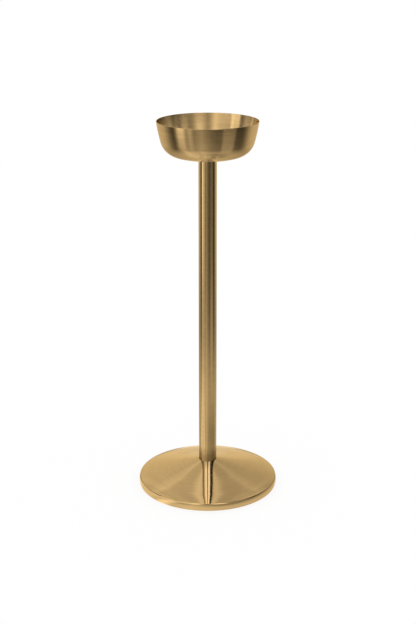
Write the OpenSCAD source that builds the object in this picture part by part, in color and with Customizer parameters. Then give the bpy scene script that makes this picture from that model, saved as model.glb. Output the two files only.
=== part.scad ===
// Champagne bucket stand: a spun bowl screwed to a tubular stem on a weighted round foot.
// Millimetres. +Z is up, and the origin is on the floor at the centre of the foot.

/* [Stand] */
// Height from the floor to the rim of the bowl
stand_h = 600; // [450:5:900]
// Thickness of the spun sheet of the bowl and of the foot's cover
sheet_t = 1.2; // [0.8:0.1:2]

/* [Bowl] */
// Outer diameter of the bowl at its rim
bowl_d = 157; // [130:1:240]
// Depth of the bowl from its rim to the underside of its floor
bowl_depth = 56.7; // [45:0.1:80]
// Outer radius of the round corner between floor and wall
bowl_corner_r = 29.4; // [20:0.1:36]
// Width of the flat ring of floor round the washer
floor_margin = 10.3; // [4:0.1:14]
// Slope of the floor where its shallow curve meets the corner, in degrees
floor_slope = 15.9; // [8:0.1:25]
// Slope of the wall where it leaves the corner, in degrees
wall_slope = 74.4; // [65:0.1:78]
// Slope of the wall at the rim, in degrees
rim_slope = 81.9; // [80:0.1:88]

/* [Stem] */
// Outer diameter of the stem tube
tube_d = 28.6; // [24:0.1:40]
// Wall of the stem tube
tube_t = 1.5; // [1:0.1:2.5]
// Length of the threaded plug in each end of the tube
plug_l = 22; // [18:1:40]
// Diameter of the spigot that centres each plug
spigot_d = 16; // [14:0.1:18]
// Depth of the lower spigot in the weight
spigot_sink = 3; // [1:0.5:5]

/* [Foot] */
// Widest diameter of the foot
foot_d = 226; // [180:1:320]
// Height of the band round the edge of the foot
band_h = 12.8; // [10:0.1:20]
// Lean of the band at its folds, in degrees, which makes it slightly barrelled
band_lean = 16; // [6:0.5:20]
// Inner radius of the folds above and below the band
fold_in_r = 0.3; // [0.1:0.1:2]
// Slope of the cone between the stem and the shoulder, in degrees
cone_slope = 15.2; // [10:0.1:18]
// Slope of the shoulder where it folds down into the band, in degrees
shoulder_slope = 21; // [19:0.1:30]
// Radius of the shoulder's curve
shoulder_r = 200; // [40:1:240]
// Width of the lip that is turned in under the weight
lip_w = 4; // [2:0.5:8]
// Height of the band above the floor, which is how far the ring stands out
ring_stand = 1; // [0.5:0.1:3]
// Gap between the weight and the cover round it
weight_gap = 0.8; // [0.3:0.1:2]

/* [Foot bolt] */
// Diameter of the bolt
bolt_d = 10; // [8:1:12]
// Width across the flats of its head
bolt_flats = 17; // [13:1:19]
// Height of its head
bolt_head_h = 6.4; // [5:0.1:8]
// Outer diameter of its flat washer
bolt_washer_d = 30; // [20:1:34]
// Thickness of its flat washer
bolt_washer_t = 2.5; // [1:0.1:3]
// Thickness of its lock washer
bolt_lock_t = 2.2; // [1.5:0.1:3]
// Width of the ring of its lock washer
bolt_lock_w = 4; // [3:0.1:5]
// Depth of its head inside the weight
bolt_sunk = 3; // [1:0.5:6]
// Room round its washer for a socket wrench, each side
wrench_gap = 7; // [2:0.5:15]
// Length of its thread inside the lower plug
bolt_thread_l = 16; // [10:1:17]

/* [Bowl screw] */
// Diameter of the screw
screw_d = 8; // [6:1:10]
// Diameter of its domed head
screw_head_d = 14; // [12:0.1:18]
// Height of the round edge of its head
screw_edge_h = 0.6; // [0.3:0.1:1]
// Height of its whole head
screw_head_h = 4.4; // [3.5:0.1:6]
// Width across the flats of the socket in its head
socket_flats = 5; // [4:0.5:6]
// Depth of that socket
socket_depth = 2.6; // [1.5:0.1:3]
// Thickness of its seal
seal_t = 1; // [0.5:0.1:2]
// Thickness of its flat washer
screw_washer_t = 1.5; // [1:0.1:3]
// How far its seal and flat washer reach past the stem tube, each side
washer_over = 0.7; // [0:0.1:4]
// Thickness of its lock washer
screw_lock_t = 2; // [1:0.1:3]
// Width of the ring of its lock washer
screw_lock_w = 3; // [2:0.1:4]
// Length of its thread inside the upper plug
screw_thread_l = 13; // [8:1:17]

/* [Hidden] */
$fn = 96;

brass = "#c9a468";
steel = "#b4b6b8";
iron = "#3c3c3e";
rubber = "#1e1e1e";

chord_gap = 0.01;    // how far a curve's chords may lie from the true curve
thread_gap = 0.05;   // a screw in its thread, each side
slip_gap = 0.1;      // a spigot or a washer on its hole, each side
pass_gap = 0.5;      // a bolt through a clear hole, each side
ring_gap = 0.5;      // the floor ring inside the turned-in lip, each side
tip_chamfer = 1;     // on the tips of bolt and screw
weight_chamfer = 1;  // on the lower edge of the weight
lock_slit = 1.5;     // the split in a lock washer
hair = 0.01;         // how far a cut runs past the face that it opens

tube_r = tube_d / 2;
bore_r = tube_r - tube_t;
spigot_hole_r = spigot_d / 2 + slip_gap;

// Foot. An angle is measured from straight up, so 90 is level and outwards, and 180 is straight down.
// These are the centres of the band's curve, of the folds above and below it and of the shoulder.
fold_r = fold_in_r + sheet_t;
band_r = fold_r + (band_h / 2 - fold_r) / sin(band_lean);
band_c = [foot_d / 2 - band_r, ring_stand + band_h / 2];
top_fold_c = band_c + (band_r - fold_r) * [cos(band_lean), sin(band_lean)];
low_fold_c = band_c + (band_r - fold_r) * [cos(band_lean), -sin(band_lean)];
shoulder_c = top_fold_c - (shoulder_r - fold_r) * [sin(shoulder_slope), cos(shoulder_slope)];

// The cone runs up from the shoulder to a flat land under the stem.
cone_end = shoulder_c + shoulder_r * [sin(cone_slope), cos(cone_slope)];
land_r = tube_r + slip_gap;
land_z = cone_end.y + (cone_end.x - land_r) * tan(cone_slope);
lip_r = low_fold_c.x - lip_w;

// The weight lies on the turned-in lip, and its boss carries the land.
weight_z = ring_stand + sheet_t;
weight_r = low_fold_c.x - weight_gap;
boss_z = land_z - sheet_t;
boss_r = land_r - sheet_t;
recess_r = bolt_washer_d / 2 + wrench_gap;
recess_depth = bolt_sunk + bolt_head_h + bolt_lock_t + bolt_washer_t;
recess_z = weight_z + recess_depth;
bolt_head_z = weight_z + bolt_sunk;
bolt_lock_z = bolt_head_z + bolt_head_h;
bolt_washer_z = bolt_lock_z + bolt_lock_t;

// Stem, between the land and the bowl
tube_z0 = land_z;
tube_z1 = stand_h - bowl_depth;

// Bowl. Its floor curve and wall curve join the flat floor, the corner and the rim without a kink:
// their two radii solve one equation across and one up.
bowl_floor_z = tube_z1 + sheet_t;
washer_r = tube_r + washer_over;
flat_r = washer_r + floor_margin;
rim_r = sheet_t / 2;
rim_rise = rim_r * (1 + cos(rim_slope));
across = bowl_d / 2 - flat_r - bowl_corner_r * (sin(wall_slope) - sin(floor_slope));
up = bowl_depth - rim_rise - bowl_corner_r * (cos(floor_slope) - cos(wall_slope));
floor_across = sin(floor_slope);
floor_up = 1 - cos(floor_slope);
wall_across = sin(rim_slope) - sin(wall_slope);
wall_up = cos(wall_slope) - cos(rim_slope);
both = floor_across * wall_up - floor_up * wall_across;
floor_r = (across * wall_up - up * wall_across) / both;
wall_r = (floor_across * up - floor_up * across) / both;
floor_c = [flat_r, tube_z1 + floor_r];
corner_c = floor_c + (floor_r - bowl_corner_r) * [sin(floor_slope), -cos(floor_slope)];
wall_c = corner_c - (wall_r - bowl_corner_r) * [sin(wall_slope), -cos(wall_slope)];
rim_c = wall_c + (wall_r - rim_r) * [sin(rim_slope), -cos(rim_slope)];

// Pieces stacked on the bowl's floor
bowl_washer_z = bowl_floor_z + seal_t;
bowl_lock_z = bowl_washer_z + screw_washer_t;
screw_head_z = bowl_lock_z + screw_lock_t;

// Points along a curve about c from angle a0 to a1, an even number of chords apart.
function curve(c, r, a0, a1) =
    let (n = 2 * ceil(abs(a1 - a0) / 4 / acos(1 - chord_gap / r)))
    [for (i = [0:n]) let (a = a0 + (a1 - a0) * i / n) c + r * [sin(a), cos(a)]];

function reversed(points) = [for (i = [len(points) - 1:-1:0]) points[i]];

// The top of the cone, t below its outer face, from the edge of the land out to the angle a1.
function cone_face(t, a1) = concat(
    [[land_r - t * tan(cone_slope / 2), land_z - t]],
    curve(shoulder_c, shoulder_r - t, cone_slope, a1)
);

// One face of the cover's sheet, t inside its outer face.
function cover_face(t) = concat(
    [[spigot_hole_r, land_z - t]],
    cone_face(t, shoulder_slope),
    curve(top_fold_c, fold_r - t, shoulder_slope, 90 - band_lean),
    curve(band_c, band_r - t, 90 - band_lean, 90 + band_lean),
    curve(low_fold_c, fold_r - t, 90 + band_lean, 180),
    [[lip_r, ring_stand + t]]
);

// One face of the bowl's sheet, t inside its outer face.
function bowl_face(t) = concat(
    [[spigot_hole_r, tube_z1 + t]],
    curve(floor_c, floor_r - t, 180, 180 - floor_slope),
    curve(corner_c, bowl_corner_r - t, 180 - floor_slope, 180 - wall_slope),
    curve(wall_c, wall_r - t, 180 - wall_slope, 180 - rim_slope)
);

// A flat ring standing on z.
module ring(r_out, r_in, z, h) {
    translate([0, 0, z]) difference() {
        cylinder(r = r_out, h = h);
        translate([0, 0, -hair]) cylinder(r = r_in, h = h + 2 * hair);
    }
}

// A split ring standing on z, as a spring lock washer is when it is pressed flat.
module lock_ring(r_in, w, z, h) {
    difference() {
        ring(r_in + w, r_in, z, h);
        translate([0, -lock_slit / 2, z - hair]) cube([r_in + 2 * w, lock_slit, h + 2 * hair]);
    }
}

// A threaded plug: its body stands on z, and its spigot, next to the body, stands on spigot_z.
module plug(z, spigot_z, spigot_h, hole_r) {
    difference() {
        union() {
            translate([0, 0, z]) cylinder(r = bore_r, h = plug_l);
            translate([0, 0, spigot_z]) cylinder(r = spigot_d / 2, h = spigot_h);
        }
        translate([0, 0, min(z, spigot_z) - hair]) cylinder(r = hole_r, h = plug_l + spigot_h + 2 * hair);
    }
}

// Rubber ring under the weight, with a hole that leaves the bolt within reach.
module floor_ring() {
    color(rubber) ring(lip_r - ring_gap, recess_r, 0, weight_z);
}

// Cast weight: a cone that follows the cover, a boss under the land, and a recess for the bolt's head.
module foot_weight() {
    t = sheet_t + weight_gap;
    edge_angle = asin((weight_r - shoulder_c.x) / (shoulder_r - t));
    boss_edge_z = land_z - t / cos(cone_slope) + (land_r - boss_r) * tan(cone_slope);
    color(iron) difference() {
        rotate_extrude() polygon(concat(
            [[0, weight_z], [0, boss_z], [boss_r, boss_z], [boss_r, boss_edge_z]],
            curve(shoulder_c, shoulder_r - t, cone_slope, edge_angle),
            [[weight_r, weight_z + weight_chamfer], [weight_r - weight_chamfer, weight_z]]
        ));
        translate([0, 0, boss_z - spigot_sink - slip_gap])
            cylinder(r = spigot_hole_r, h = spigot_sink + slip_gap + hair);
        translate([0, 0, weight_z]) cylinder(r = bolt_d / 2 + pass_gap, h = boss_z - weight_z);
        translate([0, 0, weight_z - hair]) cylinder(r = recess_r, h = recess_depth + hair);
    }
}

// Spun cover: land, cone, shoulder, band, and a lip turned in under the weight.
module foot_cover() {
    color(brass) rotate_extrude() polygon(concat(cover_face(0), reversed(cover_face(sheet_t))));
}

// Hexagon bolt that pulls the stem down on the foot, from below. Its head is chamfered underneath.
module foot_bolt() {
    bolt_r = bolt_d / 2;
    tip_z = tube_z0 + bolt_thread_l;
    color(steel) {
        translate([0, 0, bolt_lock_z]) cylinder(r = bolt_r, h = tip_z - tip_chamfer - bolt_lock_z);
        translate([0, 0, tip_z - tip_chamfer]) cylinder(r1 = bolt_r, r2 = bolt_r - tip_chamfer, h = tip_chamfer);
        translate([0, 0, bolt_head_z]) intersection() {
            cylinder(d = bolt_flats / cos(30), h = bolt_head_h, $fn = 6);
            cylinder(d1 = bolt_flats, d2 = bolt_flats + 2 * bolt_head_h, h = bolt_head_h);
        }
    }
}

module foot_washer() {
    color(steel) ring(bolt_washer_d / 2, bolt_d / 2 + pass_gap, bolt_washer_z, bolt_washer_t);
}

module foot_lock_washer() {
    color(steel) lock_ring(bolt_d / 2 + slip_gap, bolt_lock_w, bolt_lock_z, bolt_lock_t);
}

// Plug in the lower end of the tube. Its spigot passes through the land into the weight.
module bottom_plug() {
    spigot_h = sheet_t + spigot_sink;
    color(steel) plug(tube_z0, tube_z0 - spigot_h, spigot_h, bolt_d / 2 + thread_gap);
}

module stem_tube() {
    color(brass) ring(tube_r, bore_r, tube_z0, tube_z1 - tube_z0);
}

// Plug in the upper end of the tube. Its spigot stops just short of the bowl's floor.
module top_plug() {
    color(steel) plug(tube_z1 - plug_l, tube_z1, sheet_t - slip_gap, screw_d / 2 + thread_gap);
}

// Spun bowl with a rounded rim.
module bowl() {
    color(brass) rotate_extrude() {
        polygon(concat(bowl_face(0), reversed(bowl_face(sheet_t))));
        translate(rim_c) circle(r = rim_r);
    }
}

// Rubber washer that keeps melted ice out of the tube.
module bowl_seal() {
    color(rubber) ring(washer_r, screw_d / 2 + slip_gap, bowl_floor_z, seal_t);
}

module bowl_washer() {
    color(brass) ring(washer_r, screw_d / 2 + slip_gap, bowl_washer_z, screw_washer_t);
}

module bowl_lock_washer() {
    color(brass) lock_ring(screw_d / 2 + slip_gap, screw_lock_w, bowl_lock_z, screw_lock_t);
}

// Domed socket screw that holds the bowl on the stem.
module bowl_screw() {
    screw_r = screw_d / 2;
    head_r = screw_head_d / 2;
    tip_z = tube_z1 - screw_thread_l;
    dome_h = screw_head_h - screw_edge_h;
    dome_r = (head_r * head_r + dome_h * dome_h) / (2 * dome_h);
    color(brass) difference() {
        union() {
            translate([0, 0, tip_z]) cylinder(r1 = screw_r - tip_chamfer, r2 = screw_r, h = tip_chamfer);
            translate([0, 0, tip_z + tip_chamfer]) cylinder(r = screw_r, h = screw_head_z - tip_z - tip_chamfer);
            intersection() {
                translate([0, 0, screw_head_z]) cylinder(r = head_r, h = screw_head_h);
                translate([0, 0, screw_head_z + screw_head_h - dome_r]) sphere(r = dome_r);
            }
        }
        translate([0, 0, screw_head_z + screw_head_h - socket_depth])
            cylinder(d = socket_flats / cos(30), h = screw_head_h, $fn = 6);
    }
}

floor_ring();
foot_weight();
foot_cover();
foot_bolt();
foot_washer();
foot_lock_washer();
bottom_plug();
stem_tube();
top_plug();
bowl();
bowl_seal();
bowl_washer();
bowl_lock_washer();
bowl_screw();
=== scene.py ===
"""Looks of the champagne bucket stand: brushed brass bowl, stem and foot on a plain white floor.

Metres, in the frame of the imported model: +Z is up, and the origin is on the floor, at the foot's centre.
"""

import math

import bpy
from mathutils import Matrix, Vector


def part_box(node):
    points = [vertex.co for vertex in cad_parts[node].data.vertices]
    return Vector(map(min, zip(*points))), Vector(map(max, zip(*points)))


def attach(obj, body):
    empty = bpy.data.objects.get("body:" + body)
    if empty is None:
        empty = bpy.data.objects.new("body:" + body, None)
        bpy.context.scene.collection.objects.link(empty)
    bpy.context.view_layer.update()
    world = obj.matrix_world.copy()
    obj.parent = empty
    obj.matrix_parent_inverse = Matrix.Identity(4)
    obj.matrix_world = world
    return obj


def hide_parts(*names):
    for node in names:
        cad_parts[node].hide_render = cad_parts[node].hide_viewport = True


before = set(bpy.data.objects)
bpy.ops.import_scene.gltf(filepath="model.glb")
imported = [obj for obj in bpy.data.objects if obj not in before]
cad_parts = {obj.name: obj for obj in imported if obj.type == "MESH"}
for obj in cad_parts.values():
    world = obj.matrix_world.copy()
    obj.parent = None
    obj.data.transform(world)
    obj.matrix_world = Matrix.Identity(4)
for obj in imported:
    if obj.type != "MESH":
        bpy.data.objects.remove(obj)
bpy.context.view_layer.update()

MM = 0.001
TURN = 2 * math.pi

# ---------------------------------------------------------------- sizes
# The outer sizes come from the frame. The rest are the shapes of curves and the roundings of edges.

SHEET = 1.2 * MM  # thickness of the spun sheet
CHORD_GAP = 0.0015 * MM  # how far a curve's chords lie from the true curve
SAME_PLACE = 1e-6 * MM  # points of an outline that are closer than this are one
SHARP_ANGLE = 30  # degrees, above which an edge between flat faces stays sharp
SEGMENTS = 288  # round the large pieces
SMALL_SEGMENTS = 96  # round the fasteners; a multiple of 6, so that hexagons keep their corners

SLIP = 0.1 * MM  # between a spigot or a washer and its hole, each side
PASS = 0.5 * MM  # between the foot's bolt and the clear hole of its washer, each side
EDGE = 0.25 * MM  # rounding of cut edges
SEAL_EDGE = 0.3 * MM  # rounding of the bowl's seal
PAD_EDGE = 0.5 * MM  # rounding of the floor ring
SLIT = 1.5 * MM  # the split in a lock washer
CHAMFER = 1 * MM  # on the tips of bolt and screw

TUBE_LOW, TUBE_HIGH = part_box("stem_tube")
TUBE_R = TUBE_HIGH.x
TUBE_WALL = 1.5 * MM
SPIGOT_HOLE_R = 8.1 * MM

BOWL_LOW, BOWL_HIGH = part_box("bowl")
FLAT_FLOOR_R = 25.3 * MM
BOWL_CORNER_R = 29.4 * MM
FLOOR_SLOPE = 15.9  # degrees, where the floor's shallow curve meets the corner
WALL_SLOPE = 74.4  # degrees, where the wall leaves the corner
RIM_SLOPE = 81.9  # degrees, at the rim

COVER_LOW, COVER_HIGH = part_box("foot_cover")
BAND_LEAN = 16  # degrees at the folds above and below the band
FOLD_R = 1.5 * MM
CONE_SLOPE = 15.2  # degrees
SHOULDER_SLOPE = 21  # degrees
SHOULDER_R = 200 * MM
LIP_W = 4 * MM
BAND_H = 12.8 * MM
RIPPLE = 0.11 * MM  # height of the faint waves that spinning leaves in the cone
RIPPLE_LENGTH = 57 * MM
RIPPLE_START = 20 * MM  # radius of the first crest
RIPPLE_FADE = 0.12  # the share of the cone over which they die away at each end
CONE_STEPS = 60  # chords along the cone

BOLT_R = 5 * MM
BOLT_FLATS = 17 * MM
RECESS_R = 22 * MM
SCREW_R = 4 * MM
SCREW_HEAD_R = 7 * MM
SCREW_HEAD_H = 4.4 * MM
SCREW_HEAD_EDGE = 0.6 * MM  # height of the upright edge of its head
DOME_STEPS = 16  # rings of the dome
SOCKET_FLATS = 5 * MM
SOCKET_DEPTH = 2.6 * MM
SOCKET_MOUTH = 0.3 * MM  # how far outside the socket's corners the dome's last round ring lies
SOCKET_BEVEL = 0.12 * MM


# ---------------------------------------------------------------- outlines
# An outline is a list of (place, normal), both as (outwards, up), traced with the metal on its right.


def direction(angle):
    """Unit vector (outwards, up) of an angle in degrees from straight up."""
    return Vector((math.sin(math.radians(angle)), math.cos(math.radians(angle))))


def arc(centre, radius, start, end):
    """A round stretch whose normals turn from start to end, in degrees from straight up.
    A negative radius makes it hollow."""
    chord = 2 * math.acos(1 - CHORD_GAP / abs(radius))
    steps = max(2, math.ceil(abs(math.radians(end - start)) / chord))
    normals = [direction(start + (end - start) * i / steps) for i in range(steps + 1)]
    return [(centre + radius * n, n) for n in normals]


def rounded(corners):
    """The closed outline through corners (outwards, up, rounding), traced clockwise."""
    outline = []
    for i, (r, z, rounding) in enumerate(corners):
        here = Vector((r, z))
        before = (here - Vector(corners[i - 1][:2])).normalized()
        after = (Vector(corners[(i + 1) % len(corners)][:2]) - here).normalized()
        start = math.degrees(math.atan2(-before.y, before.x))
        turn = math.degrees(math.atan2(before.y * after.x - before.x * after.y, before.dot(after)))
        side = math.copysign(rounding, turn)
        back = abs(side * math.tan(math.radians(turn) / 2))
        centre = here - back * before - side * direction(start)
        outline += arc(centre, side, start, start + turn)
    return outline


def mapped_smoothly(share):
    """0 to 1 as share goes from 0 to 1, without a kink at either end."""
    share = min(max(share, 0.0), 1.0)
    return share * share * (3 - 2 * share)


# ---------------------------------------------------------------- meshes


def finish_piece(name, verts, faces, along, node, material, normals=None):
    """Makes the mesh of a piece, which stands for a CAD node and takes its finish from a slot.
    Without normals of its own, it keeps its sharp edges."""
    mesh = bpy.data.meshes.new(name)
    mesh.from_pydata(verts, [], faces)
    layer = mesh.attributes.new("along", "FLOAT", "POINT")
    layer.data.foreach_set("value", along)
    mesh.shade_smooth()
    if normals:
        mesh.normals_split_custom_set_from_vertices(normals)
    else:
        mesh.set_sharp_from_angle(angle=math.radians(SHARP_ANGLE))
    mesh.materials.append(material)
    piece = bpy.data.objects.new(name, mesh)
    bpy.context.scene.collection.objects.link(piece)
    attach(piece, "root")
    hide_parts(node)
    return piece


def lathe(name, outline, node, material, segments=SEGMENTS, slit=0.0):
    """A ring turned from a closed outline, with a gap of slit along +X if it is split."""
    outline = [point for i, point in enumerate(outline) if point != outline[i - 1]]
    places = [place for place, _ in outline]
    if sum(a.cross(b) for a, b in zip(places, places[1:] + places[:1])) > 0:
        outline.reverse()
    row = segments + 1 if slit else segments
    verts, normals, along, faces = [], [], [], []
    length = 0.0
    for j, (place, normal) in enumerate(outline):
        length += (place - outline[j - 1][0]).length if j else 0.0
        start = math.asin(slit / 2 / place.x)
        for i in range(row):
            a = start + (TURN - 2 * start) * i / segments
            verts.append((place.x * math.cos(a), place.x * math.sin(a), place.y))
            normals.append((normal.x * math.cos(a), normal.x * math.sin(a), normal.y))
            along.append(length)
    for j, (place, _) in enumerate(outline):
        k = (j + 1) % len(outline)
        if (place - outline[k][0]).length > SAME_PLACE:
            for i in range(segments):
                n = (i + 1) % row
                faces.append((row * j + i, row * k + i, row * k + n, row * j + n))
    if slit:
        ends = [row * j for j in range(len(outline))]
        faces.append(ends[::-1])
        faces.append([end + segments for end in ends])
    return finish_piece(name, verts, faces, along, node, material, None if slit else normals)


def hexagon(flats):
    """The radius of a hexagon at an angle, with a corner along +X."""
    return lambda angle: flats / 2 / math.cos(angle % (TURN / 6) - TURN / 12)


def stacked(name, rings, node, material):
    """A solid skinned over rings of points, each a (radius, height), either of which may be a function of
    the angle. The first ring and the last are closed by a point on the axis."""

    def at(value, angle):
        return value(angle) if callable(value) else value

    spine = [Vector((at(radius, 0), at(height, 0))) for radius, height in rings]
    verts, along, faces = [], [], []
    length = 0.0
    row = SMALL_SEGMENTS
    for j, (radius, height) in enumerate(rings):
        length += (spine[j] - spine[j - 1]).length if j else 0.0
        for i in range(row):
            a = TURN * i / row
            verts.append((at(radius, a) * math.cos(a), at(radius, a) * math.sin(a), at(height, a)))
            along.append(length)
    for j in range(len(rings) - 1):
        for i in range(row):
            n = (i + 1) % row
            faces.append((row * j + i, row * j + n, row * (j + 1) + n, row * (j + 1) + i))
    for j, turn in ((0, -1), (len(rings) - 1, 1)):
        pole = len(verts)
        verts.append((0, 0, at(rings[j][1], 0)))
        along.append(0.0)
        for i in range(row):
            faces.append((row * j + i, row * j + (i + 1) % row, pole)[::turn])
    return finish_piece(name, verts, faces, along, node, material)


# ---------------------------------------------------------------- materials


def add(tree, kind, settings=None, **inputs):
    """A node with its settings, and its inputs by name: a value, or another node's output."""
    node = tree.nodes.new(kind)
    for key, value in (settings or {}).items():
        setattr(node, key, value)
    for key, value in inputs.items():
        socket = node.inputs[int(key[1:])] if key[0] == "i" and key[1:].isdigit() else node.inputs[key]
        if isinstance(value, bpy.types.NodeSocket):
            tree.links.new(value, socket)
        else:
            socket.default_value = value
    return node


def math_node(tree, operation, a, b=0.0, c=0.0):
    """A sum on up to three numbers or node outputs."""
    return add(tree, "ShaderNodeMath", {"operation": operation}, i0=a, i1=b, i2=c).outputs[0]


def mapped(tree, value, low, high, to_low, to_high, smooth=False):
    """A value's range from low to high, taken to another range and held there."""
    settings = {"interpolation_type": "SMOOTHSTEP" if smooth else "LINEAR"}
    node = add(tree, "ShaderNodeMapRange", settings, i0=value, i1=low, i2=high, i3=to_low, i4=to_high)
    return node.outputs[0]


def varied(tree, noise, low, high):
    """A range of values, spread over those that a noise mostly has."""
    return mapped(tree, noise, 0.3, 0.7, low, high)


def vector_node(tree, operation, vector, **inputs):
    """The same on vectors."""
    return add(tree, "ShaderNodeVectorMath", {"operation": operation}, i0=vector, **inputs).outputs[0]


def mixed(tree, share, first, second):
    """A colour between two."""
    ends = {"i6": (*first, 1), "i7": (*second, 1)}
    return add(tree, "ShaderNodeMix", {"data_type": "RGBA"}, Factor=share, **ends).outputs[2]


def new_material(name):
    """A material with its node tree and its shader."""
    material = bpy.data.materials.new(name)
    material.use_nodes = True
    tree = material.node_tree
    return material, tree, tree.nodes["Principled BSDF"]


def streaks(tree, round_scale, along_scale, detail):
    """Noise drawn out into fine lines that run round the axis. The scales say how fast it changes round the
    axis and along the outline."""
    place = add(tree, "ShaderNodeTexCoord").outputs["Object"]
    flat = vector_node(tree, "MULTIPLY", place, i1=(1, 1, 0))
    outwards = vector_node(tree, "NORMALIZE", flat)
    spread = vector_node(tree, "SCALE", outwards, Scale=round_scale)
    length = add(tree, "ShaderNodeAttribute", {"attribute_name": "along"}).outputs["Fac"]
    up = add(tree, "ShaderNodeCombineXYZ", Z=math_node(tree, "MULTIPLY", length, along_scale)).outputs[0]
    vector = vector_node(tree, "ADD", spread, i1=up)
    noise = add(tree, "ShaderNodeTexNoise", Vector=vector, Scale=1.0, Detail=detail, Roughness=0.6)
    return noise.outputs["Fac"]


BRASS_COLOUR = (0.78, 0.522, 0.226)
PALE_BRASS = (0.8, 0.81, 0.86)  # brass seen in brass, which keeps its hue instead of turning orange
GRAZING_TINT = (1, 0.87, 0.63)  # keeps the hue at grazing angles too
ROUGHNESS_OF_LINES = 0.012  # how far the fine lines change the roughness, each way
ROUGHNESS_OF_CLOUDS = 0.008  # the same for the cloudiness
SHADE_OF_CLOUDS = 0.015  # and for its shade
RELIEF_OF_BROAD_LINES = 2.5  # how much deeper the broad lines are than the fine ones
GLOSS_TURN = 0.25  # a quarter turn of the shader's stretched gloss, so that it runs across the lines
PAINTED_CORNER_SHADE = 0.6  # painted shade: how dark the brass is drawn in the corner just above the foot, where the photo is darker
PAINTED_SHADE_REACH = 30 * MM  # how far that painted shade fades out


def with_painted_shade(tree, shade, corner):
    """Painted shade: a shade that gets darker down to the height of a corner, where shade falls between two
    parts.
    """
    place = add(tree, "ShaderNodeTexCoord").outputs["Object"]
    up = add(tree, "ShaderNodeSeparateXYZ", Vector=place).outputs["Z"]
    painted_dark = mapped(tree, up, corner, corner + PAINTED_SHADE_REACH, PAINTED_CORNER_SHADE, 1, smooth=True)
    return math_node(tree, "MULTIPLY", shade, painted_dark)


def brass(name, roughness, anisotropy, bump, contrast, corner=None):
    """Brass brushed round its axis, so that reflections draw out across the fine lines.
    Contrast is how far the lines differ in shade. A corner is the height above which painted shade darkens the
    brass."""
    material, tree, shader = new_material(name)
    fine = streaks(tree, round_scale=2.2, along_scale=1400, detail=4)
    broad = streaks(tree, round_scale=1.1, along_scale=260, detail=2)
    mottled = add(tree, "ShaderNodeTexNoise", Scale=22.0, Detail=3.0).outputs["Fac"]
    lines = math_node(tree, "ADD", varied(tree, fine, -0.8, 0.8), varied(tree, broad, -1, 1))
    clouds = varied(tree, mottled, 1 - SHADE_OF_CLOUDS, 1 + SHADE_OF_CLOUDS)
    shade = math_node(tree, "MULTIPLY_ADD", lines, contrast, clouds)
    # painted shade, darker towards the corner where the stem meets the foot
    if corner is not None:
        shade = with_painted_shade(tree, shade, corner)
    again = add(tree, "ShaderNodeLightPath").outputs["Is Glossy Ray"]
    metal = mixed(tree, again, BRASS_COLOUR, PALE_BRASS)
    tint = vector_node(tree, "SCALE", metal, Scale=shade)
    tree.links.new(tint, shader.inputs["Base Color"])
    lines = varied(tree, fine, roughness - ROUGHNESS_OF_LINES, roughness + ROUGHNESS_OF_LINES)
    clouds = varied(tree, mottled, -ROUGHNESS_OF_CLOUDS, ROUGHNESS_OF_CLOUDS)
    worn = math_node(tree, "ADD", lines, clouds)
    tree.links.new(worn, shader.inputs["Roughness"])
    shader.inputs["Metallic"].default_value = 1.0
    shader.inputs["Specular Tint"].default_value = (*GRAZING_TINT, 1)
    shader.inputs["Anisotropic"].default_value = anisotropy
    shader.inputs["Anisotropic Rotation"].default_value = GLOSS_TURN
    tangent = add(tree, "ShaderNodeTangent", {"direction_type": "RADIAL", "axis": "Z"}).outputs[0]
    tree.links.new(tangent, shader.inputs["Tangent"])
    height = math_node(tree, "ADD", fine, math_node(tree, "MULTIPLY", broad, RELIEF_OF_BROAD_LINES))
    relief = add(tree, "ShaderNodeBump", Strength=1.0, Distance=bump, Height=height).outputs[0]
    tree.links.new(relief, shader.inputs["Normal"])
    return material


bowl_brass = brass("bowl_brass", 0.19, 1.0, 0.0015 * MM, 0.07)
# The stem's brass gets painted shade in the corner just above the foot.
tube_brass = brass("tube_brass", 0.14, 1.0, 0.001 * MM, 0.045, TUBE_LOW.z)
foot_brass = brass("foot_brass", 0.08, 1.0, 0.0004 * MM, 0.035)
polished_brass = brass("polished_brass", 0.13, 0.4, 0.0005 * MM, 0.02)


def grainy(name, dark, light, metallic, roughness, grain, relief):
    """A surface whose colour and roughness wander a little, over a fine grain of a given size and depth."""
    material, tree, shader = new_material(name)
    place = add(tree, "ShaderNodeTexCoord").outputs["Object"]
    cloud = add(tree, "ShaderNodeTexNoise", Vector=place, Scale=0.1 / grain, Detail=3.0).outputs["Fac"]
    fine = add(tree, "ShaderNodeTexNoise", Vector=place, Scale=1 / grain, Detail=2.0).outputs["Fac"]
    tint = mixed(tree, varied(tree, cloud, 0, 1), dark, light)
    worn = varied(tree, cloud, roughness + 0.06, roughness - 0.06)
    bump = add(tree, "ShaderNodeBump", Strength=1.0, Distance=relief, Height=fine).outputs[0]
    tree.links.new(tint, shader.inputs["Base Color"])
    tree.links.new(worn, shader.inputs["Roughness"])
    tree.links.new(bump, shader.inputs["Normal"])
    shader.inputs["Metallic"].default_value = metallic
    return material


plated_steel = grainy("plated_steel", (0.48, 0.49, 0.5), (0.62, 0.63, 0.63), 1.0, 0.32, 0.6 * MM, 0.01 * MM)
cast_iron = grainy("cast_iron", (0.03, 0.03, 0.033), (0.06, 0.058, 0.058), 0.0, 0.6, 0.9 * MM, 0.15 * MM)
rubber = grainy("rubber", (0.016, 0.016, 0.016), (0.028, 0.028, 0.027), 0.0, 0.7, 0.5 * MM, 0.03 * MM)

# ---------------------------------------------------------------- bowl


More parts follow.
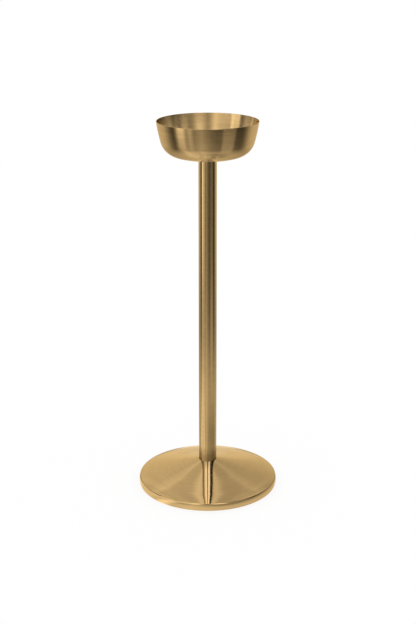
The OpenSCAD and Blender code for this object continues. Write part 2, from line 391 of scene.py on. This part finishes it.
def bowl_outline():
    """A shallow floor, a round corner and a nearly upright wall, up to a rounded rim."""
    rim_r = SHEET / 2
    rim_rise = rim_r * (1 + math.cos(math.radians(RIM_SLOPE)))
    corner = BOWL_CORNER_R * (direction(WALL_SLOPE) - direction(FLOOR_SLOPE))
    across = BOWL_HIGH.x - FLAT_FLOOR_R - corner.x
    up = BOWL_HIGH.z - BOWL_LOW.z - rim_rise + corner.y
    floor = Vector((0, 1)) - direction(FLOOR_SLOPE)
    wall = direction(WALL_SLOPE) - direction(RIM_SLOPE)
    floor_across, floor_up = -floor.x, floor.y
    wall_across, wall_up = -wall.x, wall.y
    both = floor_across * wall_up - floor_up * wall_across
    floor_r = (across * wall_up - up * wall_across) / both
    wall_r = (floor_across * up - floor_up * across) / both
    floor_c = Vector((FLAT_FLOOR_R, BOWL_LOW.z + floor_r))
    corner_c = floor_c + (floor_r - BOWL_CORNER_R) * direction(180 - FLOOR_SLOPE)
    wall_c = corner_c - (wall_r - BOWL_CORNER_R) * direction(180 - WALL_SLOPE)
    rim_c = wall_c + (wall_r - rim_r) * direction(180 - RIM_SLOPE)
    down, level = direction(180), direction(0)
    outside = (
        [(Vector((SPIGOT_HOLE_R, BOWL_LOW.z)), down)]
        + arc(floor_c, floor_r, 180, 180 - FLOOR_SLOPE)
        + arc(corner_c, BOWL_CORNER_R, 180 - FLOOR_SLOPE, 180 - WALL_SLOPE)
        + arc(wall_c, wall_r, 180 - WALL_SLOPE, 180 - RIM_SLOPE)
    )
    inside = (
        arc(wall_c, SHEET - wall_r, -RIM_SLOPE, -WALL_SLOPE)
        + arc(corner_c, SHEET - BOWL_CORNER_R, -WALL_SLOPE, -FLOOR_SLOPE)
        + arc(floor_c, SHEET - floor_r, -FLOOR_SLOPE, 0)
        + [(Vector((SPIGOT_HOLE_R, BOWL_LOW.z + SHEET)), level)]
    )
    rim = arc(rim_c, rim_r, 180 - RIM_SLOPE, -RIM_SLOPE)
    hole = [
        (Vector((SPIGOT_HOLE_R, BOWL_LOW.z + SHEET)), direction(-90)),
        (Vector((SPIGOT_HOLE_R, BOWL_LOW.z)), direction(-90)),
    ]
    return outside + rim + inside + hole


lathe("bowl_shell", bowl_outline(), "bowl", bowl_brass)

# ---------------------------------------------------------------- stem tube


def ring_outline(inner_r, outer_r, low, high, edge):
    """The cross-section of a flat ring or a tube with rounded edges."""
    corners = [(inner_r, low), (inner_r, high), (outer_r, high), (outer_r, low)]
    return rounded([(*corner, edge) for corner in corners])


stem_outline = ring_outline(TUBE_R - TUBE_WALL, TUBE_R, TUBE_LOW.z, TUBE_HIGH.z, EDGE)
lathe("stem", stem_outline, "stem_tube", tube_brass)

# ---------------------------------------------------------------- foot cover


def cover_outline():
    """Land, cone, shoulder, band between two folds, and the lip turned in below."""
    band_r = FOLD_R + (BAND_H / 2 - FOLD_R) / math.sin(math.radians(BAND_LEAN))
    band_c = Vector((COVER_HIGH.x - band_r, COVER_LOW.z + BAND_H / 2))
    top_fold_c = band_c + (band_r - FOLD_R) * direction(90 - BAND_LEAN)
    low_fold_c = band_c + (band_r - FOLD_R) * direction(90 + BAND_LEAN)
    shoulder_c = top_fold_c - (SHOULDER_R - FOLD_R) * direction(SHOULDER_SLOPE)
    land_r = TUBE_R + SLIP
    slope = math.tan(math.radians(CONE_SLOPE))

    def cone_point(depth, share):
        """A point of the cone and its normal, depth inside the outer face; share is how far out it lies."""
        end = shoulder_c + (SHOULDER_R - depth) * direction(CONE_SLOPE)
        start_r = land_r - depth * math.tan(math.radians(CONE_SLOPE / 2))
        r = start_r + (end.x - start_r) * share
        fade = mapped_smoothly(min(share, 1 - share) / RIPPLE_FADE)
        phase = TURN * (r - RIPPLE_START) / RIPPLE_LENGTH
        rise = -fade * RIPPLE * TURN / RIPPLE_LENGTH * math.sin(phase)
        place = Vector((r, end.y + (end.x - r) * slope + fade * RIPPLE * math.cos(phase)))
        return place, Vector((slope - rise, 1)).normalized()

    def face(depth):
        """One face of the sheet, from the hole in the land to the end of the lip."""
        land = [(Vector((SPIGOT_HOLE_R, COVER_HIGH.z - depth)), direction(0))]
        cone = [cone_point(depth, i / CONE_STEPS) for i in range(CONE_STEPS)]
        return (
            land
            + [(cone[0][0], direction(0))]
            + cone
            + arc(shoulder_c, SHOULDER_R - depth, CONE_SLOPE, SHOULDER_SLOPE)
            + arc(top_fold_c, FOLD_R - depth, SHOULDER_SLOPE, 90 - BAND_LEAN)
            + arc(band_c, band_r - depth, 90 - BAND_LEAN, 90 + BAND_LEAN)
            + arc(low_fold_c, FOLD_R - depth, 90 + BAND_LEAN, 180)
            + [(Vector((low_fold_c.x - LIP_W, COVER_LOW.z + depth)), direction(180))]
        )

    inner = [(place, -normal) for place, normal in face(SHEET)]
    return face(0) + inner[::-1]


lathe("foot_shell", cover_outline(), "foot_cover", foot_brass)

# ---------------------------------------------------------------- washers


def washer(name, node, hole_r, material, edge, slit=0.0):
    """A flat or split washer that fills its CAD node's box."""
    low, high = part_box(node)
    outline = ring_outline(hole_r, high.y, low.z, high.z, edge)
    lathe(name, outline, node, material, SMALL_SEGMENTS, slit)


SCREW_HOLE_R = SCREW_R + SLIP
washer("bowl_sealing_ring", "bowl_seal", SCREW_HOLE_R, rubber, SEAL_EDGE)
washer("bowl_flat_washer", "bowl_washer", SCREW_HOLE_R, polished_brass, EDGE)
washer("bowl_spring_washer", "bowl_lock_washer", SCREW_HOLE_R, polished_brass, EDGE, SLIT)
washer("foot_flat_washer", "foot_washer", BOLT_R + PASS, plated_steel, EDGE)
washer("foot_spring_washer", "foot_lock_washer", BOLT_R + SLIP, plated_steel, EDGE, SLIT)
washer("floor_pad", "floor_ring", RECESS_R, rubber, PAD_EDGE)

# ---------------------------------------------------------------- screw and bolt


def screw_head_rings():
    """Rings from the underside of the screw's domed head, over the dome and down into its socket."""
    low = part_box("bowl_lock_washer")[1].z
    top = low + SCREW_HEAD_H
    dome_h = SCREW_HEAD_H - SCREW_HEAD_EDGE
    dome_r = (SCREW_HEAD_R**2 + dome_h**2) / (2 * dome_h)
    socket = hexagon(SOCKET_FLATS)
    mouth_r = socket(0) + SOCKET_MOUTH

    def dome(r):
        return top - dome_r + math.sqrt(dome_r**2 - r**2)

    rings = [(SCREW_HEAD_R - EDGE, low), (SCREW_HEAD_R, low + EDGE), (SCREW_HEAD_R, low + SCREW_HEAD_EDGE)]
    for i in range(1, DOME_STEPS + 1):
        r = SCREW_HEAD_R + (mouth_r - SCREW_HEAD_R) * i / DOME_STEPS
        rings.append((r, dome(r)))
    rings.append((lambda a: socket(a) + SOCKET_BEVEL, lambda a: dome(socket(a) + SOCKET_BEVEL)))
    rings.append((socket, lambda a: dome(socket(a)) - SOCKET_BEVEL))
    rings.append((socket, top - SOCKET_DEPTH))
    return rings


def bowl_screw_rings():
    """The domed socket screw, from its tip up."""
    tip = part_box("bowl_screw")[0].z
    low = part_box("bowl_lock_washer")[1].z
    shank = [(SCREW_R - CHAMFER, tip), (SCREW_R, tip + CHAMFER), (SCREW_R, low)]
    return shank + screw_head_rings()


def foot_bolt_rings():
    """The hexagon bolt, from the chamfered underside of its head up to its tip."""
    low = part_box("foot_bolt")[0].z
    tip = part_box("foot_bolt")[1].z
    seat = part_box("foot_lock_washer")[0].z
    head = hexagon(BOLT_FLATS)
    face_r = BOLT_FLATS / 2
    return [
        (face_r, low),
        (head, lambda a: low + head(a) - face_r),
        (head, seat),
        (BOLT_R, seat),
        (BOLT_R, tip - CHAMFER),
        (BOLT_R - CHAMFER, tip),
    ]


stacked("bowl_cap_screw", bowl_screw_rings(), "bowl_screw", polished_brass)
stacked("foot_hex_bolt", foot_bolt_rings(), "foot_bolt", plated_steel)

# ---------------------------------------------------------------- hidden pieces that keep their CAD shape

KEPT_NODES = {"foot_weight": cast_iron, "bottom_plug": plated_steel, "top_plug": plated_steel}
for node, material in KEPT_NODES.items():
    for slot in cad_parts[node].material_slots:
        slot.material = material

# ---------------------------------------------------------------- studio light


def azimuth(tree, vector):
    """Where a direction points, from 0 to 1 round the stand; the camera's side is at 0.5 and +X at 0.75."""
    parts = add(tree, "ShaderNodeSeparateXYZ", Vector=vector).outputs
    back = math_node(tree, "MULTIPLY", parts["Y"], -1)
    angle = math_node(tree, "ARCTAN2", parts["X"], back)
    return math_node(tree, "MULTIPLY_ADD", angle, 1 / TURN, 0.5)


# What the brass sees of the studio. Each light has its azimuth, half width and softness in degrees, and its
# strength at each of the heights (in the room) or distances (on the floor). Azimuth 0 is towards the camera,
# and 90 is +X. Where no light is, it is dark. Most numbers of ROOM_LIGHTS and FLOOR_LIGHTS come from a search
# and least-squares fit to the photo's brightness, and were rounded. The lights were named afterwards.
HEIGHTS = (0.15, 0.5, 0.85)  # as the sine of the angle above the horizon
DISTANCES = (0.12, 0.19, 0.4, 0.8, 1.6)  # metres from the axis of the stand

ROOM_LIGHTS = {
    "left wall": (-36, 23, 11, (1.05, 0.6, 1.4)),
    "left window": (-70, 12, 4, (1.4, 1.1, 0.4)),
    "left side, faint": (-102, 12, 10, (0.3, 0.3, 0)),
    "behind the camera": (0, 24, 12, (0.35, 0.55, 0)),
    "right softbox": (22, 10, 12, (0.2, 1, 1.5)),
    "right doorway": (37, 12, 4, (0.35, 0.2, 1.2)),
    "right window": (60, 10, 4, (0, 1, 0)),
    "right side, faint": (110, 10, 10, (0.2, 0.3, 0)),
    "back, left corner": (-140, 7, 14, (0, 1.6, 1.5)),
    "back, left wall": (-165, 12, 4, (0.75, 0.65, 0.55)),
    "back, middle": (180, 10, 3, (0.1, 0, 0.3)),
    "back, right wall": (165, 12, 4, (0.7, 0.5, 0.45)),
    "back, right corner": (142, 6, 12, (0, 1.1, 1.3)),
    "ceiling, left": (-45, 80, 6, (0, 0, 0.2)),
}

# These two get brighter up to one height and end there. That upper edge draws the fan on the cone of the foot.
FAN_HEIGHTS = (0.6, 0.71, 0.72)
FAN_LIGHTS = {
    "back, left wall": (-161, 12, 8, (0, 0.18, 0)),
    "back, right wall": (160, 10, 6, (0, 0.12, 0)),
}

FLOOR_LIGHTS = {
    "left": (-64, 11, 7, (0.2, 0.7, 0.5, 0.2, 1.1)),
    "left, near": (-87, 9, 9, (0.3, 0.9, 0, 0, 0)),
    "front left": (-42, 6, 5, (0.5, 0.8, 0.2, 0.2, 0.5)),
    "front": (-15, 10, 30, (0.2, 0.5, 0.3, 0.4, 0.3)),
    "right": (52, 16, 3, (0, 0, 0, 0.3, 0.1)),
    "back": (180, 74, 20, (0, 0.4, 0, 0.3, 0.6)),
    "behind the foot": (180, 15, 3, (0, 0.5, 0.2, 0.5, 0.3)),
}
FLOOR_ALL_ROUND = (0.7, 0.2, 0.55, 0.1, 0.05)

WHITE = (1, 1, 1, 1)
PLAIN_WHITE = 0.85  # the camera's share of plain white in the floor; the rest is white paint, with the shadow
FLOOR_R = 40.0  # metres
FLOOR_CORNERS = 96


def shares(tree, value, knots):
    """The share of each knot at a value: 1 there, and falling to 0 at the knots next to it."""
    steps = [mapped(tree, value, low, high, 0, 1) for low, high in zip(knots, knots[1:])]
    pairs = zip([1.0, *steps], [*steps, 0.0])
    return [math_node(tree, "SUBTRACT", before, after) for before, after in pairs]


def profile(tree, strengths, weights):
    """A light's strength at a height or distance, from the shares of the knots there."""
    total = 0.0
    for strength, weight in zip(strengths, weights):
        if strength:
            total = math_node(tree, "MULTIPLY_ADD", weight, strength, total)
    return total


def studio_lights(tree, place, value, knots, lights, all_round):
    """Brightness of the studio at an azimuth and a height or distance."""
    weights = shares(tree, value, knots)
    total = profile(tree, all_round, weights)
    for angle, half_width, softness, strengths in lights.values():
        away = math_node(tree, "WRAP", math_node(tree, "SUBTRACT", place, angle / 360 + 0.5), -0.5, 0.5)
        away = math_node(tree, "MULTIPLY", math_node(tree, "ABSOLUTE", away), 360)
        window = mapped(tree, away, half_width - softness, half_width + softness, 1, 0, smooth=True)
        total = math_node(tree, "MULTIPLY_ADD", profile(tree, strengths, weights), window, total)
    return total


def studio_world():
    """The room: plain white to the camera and to matt surfaces, with lights and dark walls in reflections."""
    world = bpy.data.worlds.new("studio")
    bpy.context.scene.world = world
    world.use_nodes = True
    world.cycles.sampling_method = "NONE"
    tree = world.node_tree
    tree.nodes.clear()
    vector = add(tree, "ShaderNodeTexCoord").outputs["Generated"]
    rise = add(tree, "ShaderNodeSeparateXYZ", Vector=vector).outputs["Z"]
    place = azimuth(tree, vector)
    light = studio_lights(tree, place, rise, HEIGHTS, ROOM_LIGHTS, ())
    fan = studio_lights(tree, place, rise, FAN_HEIGHTS, FAN_LIGHTS, ())
    light = math_node(tree, "ADD", light, fan)
    glossy = add(tree, "ShaderNodeLightPath").outputs["Is Glossy Ray"]
    room = add(tree, "ShaderNodeBackground", Color=WHITE, Strength=1.0).outputs[0]
    seen = add(tree, "ShaderNodeBackground", Color=WHITE, Strength=light).outputs[0]
    mix = add(tree, "ShaderNodeMixShader", Fac=glossy, i1=room, i2=seen).outputs[0]
    add(tree, "ShaderNodeOutputWorld", Surface=mix)


def floor_material():
    """The floor: plain white with a soft shadow to the camera, and lit here and there in reflections."""
    material, tree, shader = new_material("studio_floor")
    tree.nodes.remove(shader)
    vector = add(tree, "ShaderNodeTexCoord").outputs["Object"]
    distance = add(tree, "ShaderNodeVectorMath", {"operation": "LENGTH"}, i0=vector).outputs["Value"]
    light = studio_lights(tree, azimuth(tree, vector), distance, DISTANCES, FLOOR_LIGHTS, FLOOR_ALL_ROUND)
    paths = add(tree, "ShaderNodeLightPath").outputs
    paint = add(tree, "ShaderNodeBsdfDiffuse", Color=WHITE).outputs[0]
    white = add(tree, "ShaderNodeEmission", Color=WHITE, Strength=1.0).outputs[0]
    lit = add(tree, "ShaderNodeEmission", Color=WHITE, Strength=light).outputs[0]
    plain = math_node(tree, "MULTIPLY", paths["Is Camera Ray"], PLAIN_WHITE)
    plain = add(tree, "ShaderNodeMixShader", Fac=plain, i1=paint, i2=white).outputs[0]
    mix = add(tree, "ShaderNodeMixShader", Fac=paths["Is Glossy Ray"], i1=plain, i2=lit).outputs[0]
    tree.links.new(mix, tree.nodes["Material Output"].inputs["Surface"])
    material.cycles.emission_sampling = "NONE"
    return material


def studio_floor():
    """A wide round floor. It reaches so far that it meets the white room at the horizon."""
    count = FLOOR_CORNERS
    angles = [TURN * i / count for i in range(count)]
    ring = [(FLOOR_R * math.cos(a), FLOOR_R * math.sin(a), 0) for a in angles]
    mesh = bpy.data.meshes.new("studio_floor")
    mesh.from_pydata(ring + [(0, 0, 0)], [], [(i, (i + 1) % count, count) for i in range(count)])
    mesh.materials.append(floor_material())
    floor = bpy.data.objects.new("studio_floor", mesh)
    bpy.context.scene.collection.objects.link(floor)


studio_world()
studio_floor()

# ---------------------------------------------------------------- camera

# These were fitted to the outline of the stand in the photo.
FOCAL_LENGTH = 70.6  # millimetres, for a sensor 36 wide
CAMERA_PLACE = (0.0005, -1.85, 0.902)
CAMERA_TILT = 18.16  # degrees below the horizon

lens = bpy.data.cameras.new("camera")
lens.lens = FOCAL_LENGTH
lens.sensor_width = 36
camera = bpy.data.objects.new("camera", lens)
camera.location = CAMERA_PLACE
camera.rotation_euler = (math.radians(90 - CAMERA_TILT), 0, 0)
bpy.context.scene.collection.objects.link(camera)
bpy.context.scene.camera = camera
bpy.context.scene.view_settings.view_transform = "Standard"
